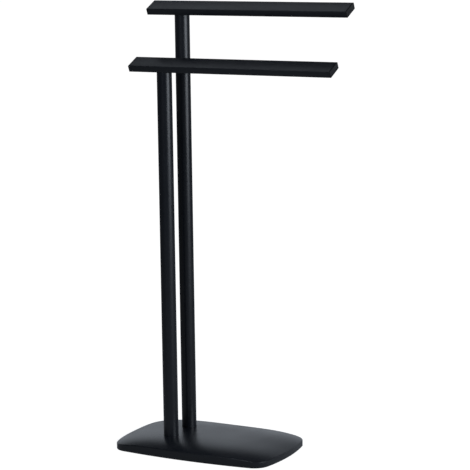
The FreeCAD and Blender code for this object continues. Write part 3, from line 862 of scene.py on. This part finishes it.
# --------------------------------------------------------------------------------------------
# Studio
# A white floor without an end, a pale low wall of light behind the stand and a dim room in front.
# Four soft lamps: a large one at the right, a small high one behind over the arms' left ends, one
# above, and a narrow one in front, in line with both posts, so that the front post shades the rear.
# --------------------------------------------------------------------------------------------
view_target = Vector((0.06417, 0.0, 0.44227))
view_distance = 3.77582
view_azimuth = math.radians(27.2936)
view_elevation = math.radians(9.7538)
view_roll = math.radians(-0.7613)
lens_length = 145.708
floor_reach = 30.0
floor_colour = (0.4, 0.4, 0.4)
floor_drop = 0.0002
near_glow = 0.9
near_glow_reach = (0.6, 2.0)
gloss_glow = 0.1
gloss_glow_reach = (0.2, 0.85)
white_light = (1.0, 1.0, 1.0)
cool_light = (0.84, 0.91, 1.0)
wall_light = 0.76
wall_right_share = 0.4
wall_edge = (-0.2, 0.4)
wall_right_edge = (0.2, 0.7)
wall_top_edge = (0.36, 0.54)
room_light = 0.03
front_light = 0.08


def add_camera():
    """A long lens from the front right and a little above, turned by the roll."""
    back = Vector((
        math.sin(view_azimuth) * math.cos(view_elevation),
        -math.cos(view_azimuth) * math.cos(view_elevation),
        math.sin(view_elevation),
    ))
    level = Vector((math.cos(view_azimuth), math.sin(view_azimuth), 0))
    upright = back.cross(level)
    right = math.cos(view_roll) * level + math.sin(view_roll) * upright
    up = math.cos(view_roll) * upright - math.sin(view_roll) * level
    turn = Matrix((right, up, back)).transposed().to_4x4()
    data = bpy.data.cameras.new("portrait_camera")
    data.lens = lens_length
    camera = new_piece("portrait_camera", data)
    camera.matrix_world = Matrix.Translation(view_target + back * view_distance) @ turn
    bpy.context.scene.camera = camera


def seen_itself(tree, rays):
    """1 for rays that show the backdrop to the camera, straight or through something clear."""
    return wire(tree, "ShaderNodeMath", {
        0: rays.outputs["Is Camera Ray"], 1: rays.outputs["Is Transmission Ray"],
    }, operation="MAXIMUM")


def soft_edge(tree, value, before, after, edge):
    """Goes smoothly from one value to another across an edge with a start and an end."""
    step = spread(tree, value, before, after, *edge)
    step.interpolation_type = "SMOOTHSTEP"
    return step


def add_floor():
    """White to the camera and, round the stand, pale in its gloss; open when seen from below."""
    sheet = bmesh.new()
    bmesh.ops.create_grid(sheet, x_segments=2, y_segments=2, size=floor_reach)
    bmesh.ops.translate(sheet, verts=sheet.verts, vec=(0, 0, -floor_drop))
    mesh = bpy.data.meshes.new("floor")
    sheet.to_mesh(mesh)
    sheet.free()
    finish, tree, point = new_finish("white_floor")
    rays = wire(tree, "ShaderNodeLightPath")
    away = wire(tree, "ShaderNodeVectorMath", {0: point}, operation="LENGTH").outputs["Value"]
    far_white = spread(tree, away, near_glow, 1.0, *near_glow_reach)
    near_gloss = spread(tree, away, gloss_glow, 0.0, *gloss_glow_reach)
    seen = seen_itself(tree, rays)
    white = wire(tree, "ShaderNodeMath", {0: seen, 1: far_white}, operation="MULTIPLY")
    glow = wire(tree, "ShaderNodeMath", {
        0: rays.outputs["Is Glossy Ray"], 1: near_gloss, 2: white,
    }, operation="MULTIPLY_ADD")
    paint = wire(tree, "ShaderNodeBsdfDiffuse", {"Color": (*floor_colour, 1)})
    tint = blend_colours(tree, seen, cool_light, white_light)
    light = wire(tree, "ShaderNodeEmission", {"Color": tint, "Strength": glow})
    above = wire(tree, "ShaderNodeAddShader", {0: paint, 1: light})
    below = wire(tree, "ShaderNodeNewGeometry").outputs["Backfacing"]
    close_finish(tree, wire(tree, "ShaderNodeMixShader", {
        0: below, 1: above, 2: wire(tree, "ShaderNodeBsdfTransparent"),
    }))
    mesh.materials.append(finish)
    new_piece("studio_floor", mesh)


def add_world():
    """White to the camera; to the stand, a low wall behind it, dimmer at its right, and a dim room."""
    world = bpy.data.worlds.new("studio")
    bpy.context.scene.world = world
    world.use_nodes = True
    tree = world.node_tree
    tree.nodes.clear()
    rays = wire(tree, "ShaderNodeLightPath")
    way = wire(tree, "ShaderNodeSeparateXYZ", {0: wire(tree, "ShaderNodeTexCoord").outputs["Generated"]})
    behind = soft_edge(tree, way.outputs["Y"], 0.0, 1.0, wall_edge)
    left = soft_edge(tree, way.outputs["X"], 1.0, wall_right_share, wall_right_edge)
    low = soft_edge(tree, way.outputs["Z"], 1.0, 0.0, wall_top_edge)
    share = wire(tree, "ShaderNodeMath", {0: behind, 1: left}, operation="MULTIPLY")
    pale = spread(tree, share, front_light, wall_light, 0.0, 1.0)
    room = wire(tree, "ShaderNodeMath", {0: pale, 1: low, 2: room_light}, operation="MULTIPLY_ADD")
    seen = seen_itself(tree, rays)
    strength = wire(tree, "ShaderNodeMix", {0: seen, 2: room, 3: 1.0}, data_type="FLOAT")
    tint = blend_colours(tree, seen, cool_light, white_light)
    light = wire(tree, "ShaderNodeBackground", {"Color": tint, "Strength": strength})
    wire(tree, "ShaderNodeOutputWorld", {"Surface": light})


def add_lamp(name, place, aim, width, height, power):
    """A soft rectangular lamp of so many watts that points at aim and isn't seen itself."""
    data = bpy.data.lights.new(name, "AREA")
    data.shape = "RECTANGLE"
    data.size = width
    data.size_y = height
    data.energy = power
    data.color = cool_light
    lamp = new_piece(name, data)
    way = Vector(aim) - Vector(place)
    lamp.matrix_world = Matrix.Translation(place) @ way.to_track_quat("-Z", "Y").to_matrix().to_4x4()
    lamp.visible_camera = False


add_camera()
add_floor()
add_world()
add_lamp(
    "right_lamp", place=(2.38, -0.3, 0.96), aim=(0.0, 0.0, 0.66), width=1.6, height=1.2, power=41.0
)
add_lamp(
    "high_lamp", place=(-0.55, 0.66, 1.95), aim=(-0.45, 0.0, 0.85), width=0.8, height=0.35, power=0.64
)
add_lamp(
    "top_lamp", place=(-0.4, -0.9, 3.0), aim=(-0.1, -0.2, 0.5), width=1.3, height=1.3, power=6.0
)
add_lamp(
    "front_lamp", place=(-0.068, -2.3, 1.75), aim=(-0.068, 0.0, 0.5), width=0.25, height=0.5, power=18.0
)
bpy.context.scene.view_settings.view_transform = "Standard"
